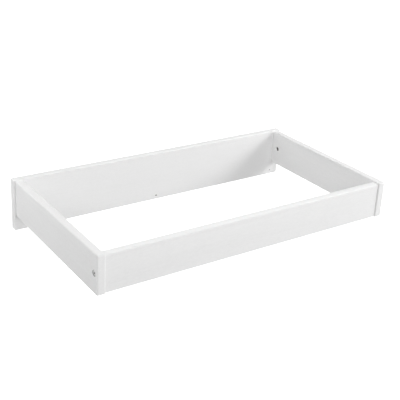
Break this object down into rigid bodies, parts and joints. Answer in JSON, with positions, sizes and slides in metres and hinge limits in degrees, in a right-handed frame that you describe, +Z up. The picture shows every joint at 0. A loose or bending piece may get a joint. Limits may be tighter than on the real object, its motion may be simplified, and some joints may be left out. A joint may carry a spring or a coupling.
{
  "type": "changing top",
  "caption": "Open rectangular frame of butted wooden boards that stands on a dresser and holds a changing pad; its taller back board hangs behind the dresser.",
  "frame": {"origin": "middle of the footprint (bounding box), level with the lower edge of the back board", "axes": "+X along the long boards to the user's right, +Y from the front board to the back board, +Z up"},
  "size_m": [0.896, 0.4842, 0.145],
  "materials": {
    "white_paint": "satin white paint over wood, grain just showing",
    "zinc_plate": "zinc plated, satin",
    "beech": "bare turned beech"
  },
  "bodies": {
    "root": {"back_panel": "white_paint", "front_panel": "white_paint", "left_side_panel": "white_paint", "right_side_panel": "white_paint", "bolt_front_left": "zinc_plate", "bolt_front_right": "zinc_plate", "bolt_rear_left": "zinc_plate", "bolt_rear_right": "zinc_plate", "barrel_nut_front_left": "zinc_plate", "barrel_nut_front_right": "zinc_plate", "barrel_nut_rear_left": "zinc_plate", "barrel_nut_rear_right": "zinc_plate", "dowel_front_left_upper": "beech", "dowel_front_left_lower": "beech", "dowel_front_right_upper": "beech", "dowel_front_right_lower": "beech", "dowel_rear_left_upper": "beech", "dowel_rear_left_lower": "beech", "dowel_rear_right_upper": "beech", "dowel_rear_right_lower": "beech"}
  },
  "joints": []
}
